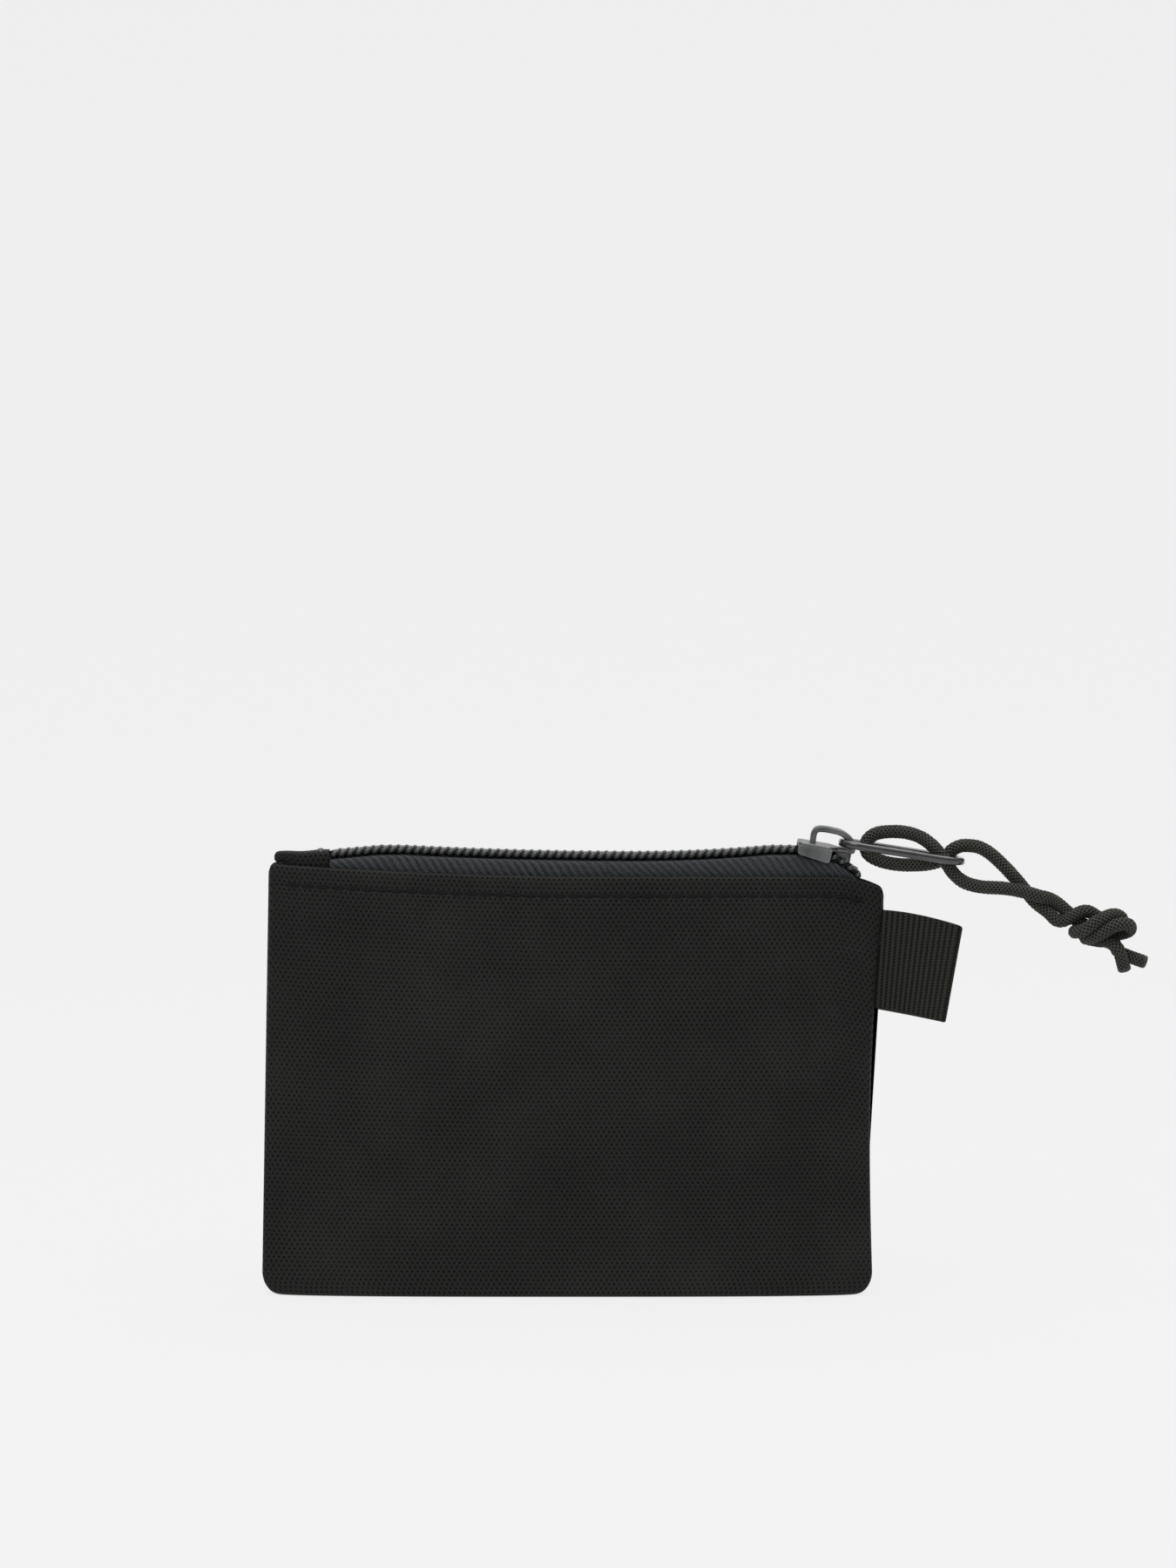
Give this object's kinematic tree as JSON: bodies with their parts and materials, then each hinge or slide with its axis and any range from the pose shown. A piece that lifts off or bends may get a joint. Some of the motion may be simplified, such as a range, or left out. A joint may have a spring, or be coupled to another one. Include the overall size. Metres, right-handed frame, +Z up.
{
  "type": "zippered pouch",
  "caption": "Small flat woven-nylon pouch with a coil zip along the top, a slider with an oval ring and knotted cord pull, and a folded webbing tab on one side.",
  "frame": {"origin": "middle of the bottom edge's flat underside, on the surface the pouch stands on", "axes": "+Z up, -Y out of the front panel, +X along the zip towards the end where the slider rests when shut"},
  "size_m": [0.1808, 0.013, 0.0959],
  "materials": {
    "canvas": "matte woven",
    "binding": "matte woven",
    "thread": "satin",
    "zip_tape": "matte woven",
    "coil": "semi-gloss",
    "slider_metal": "gloss",
    "ring_metal": "gloss",
    "cord": "satin braided",
    "webbing": "satin woven"
  },
  "bodies": {
    "pouch": {"front_panel": "canvas", "back_panel": "canvas", "front_hem_stitching": "thread", "back_hem_stitching": "thread", "left_seam_binding": "binding", "right_seam_binding": "binding", "bottom_seam_binding": "binding", "left_seam_stitching": "thread", "right_seam_stitching": "thread", "bottom_seam_stitching": "thread", "front_tape_seam": "zip_tape", "back_tape_seam": "zip_tape", "zip_start_tab": "canvas", "zip_start_stop": "coil", "zip_end_bartack": "thread", "side_tab_root": "webbing", "side_tab_stitching": "thread"},
    "front_mouth": {"front_zip_tape": "zip_tape", "front_zip_coil": "coil", "front_coil_core": "thread"},
    "back_mouth": {"back_zip_tape": "zip_tape", "back_zip_coil": "coil", "back_coil_core": "thread"},
    "slider": {"slider_body": "slider_metal", "slider_bail": "slider_metal"},
    "ring": {"pull_ring": "ring_metal", "cord_loop": "cord"},
    "cord_tail": {"cord_strands": "cord", "cord_knot": "cord", "cord_ends": "cord"},
    "tab": {"side_tab": "webbing"}
  },
  "joints": [
    {"name": "zip_slide", "type": "slide", "parent": "pouch", "child": "slider", "axis": [-1, 0, 0], "range_m": [0, 0.094], "deforming": ["front_zip_tape", "back_zip_tape", "front_zip_coil", "back_zip_coil", "front_coil_core", "back_coil_core"]},
    {"name": "front_mouth_open", "type": "hinge", "parent": "pouch", "child": "front_mouth", "pos_m": [0, -0.0046, 0.086], "axis": [1, 0, 0], "range_deg": [0, 72]},
    {"name": "back_mouth_open", "type": "hinge", "parent": "pouch", "child": "back_mouth", "pos_m": [0, 0.0046, 0.086], "axis": [-1, 0, 0], "range_deg": [0, 72]},
    {"name": "ring_swing", "type": "hinge", "parent": "slider", "child": "ring", "pos_m": [0.05583, 0, 0.09242], "axis": [0, -1, 0], "range_deg": [0, 120]},
    {"name": "cord_swing", "type": "hinge", "parent": "ring", "child": "cord_tail", "pos_m": [0.07993, 0, 0.08864], "axis": [0, -1, 0], "range_deg": [-35, 70], "stiffness_Nm_per_rad": 0.02, "deforming": ["cord_loop", "cord_strands", "cord_knot", "cord_ends"]},
    {"name": "tab_flex", "type": "hinge", "parent": "pouch", "child": "tab", "pos_m": [0.0658, 0, 0.069], "axis": [0, 0, 1], "range_deg": [-75, 75], "stiffness_Nm_per_rad": 0.002}
  ],
  "couplings": [
    {"joint": "front_mouth_open", "follows": "zip_slide", "rad_per_m": 13},
    {"joint": "back_mouth_open", "follows": "zip_slide", "rad_per_m": 13}
  ]
}
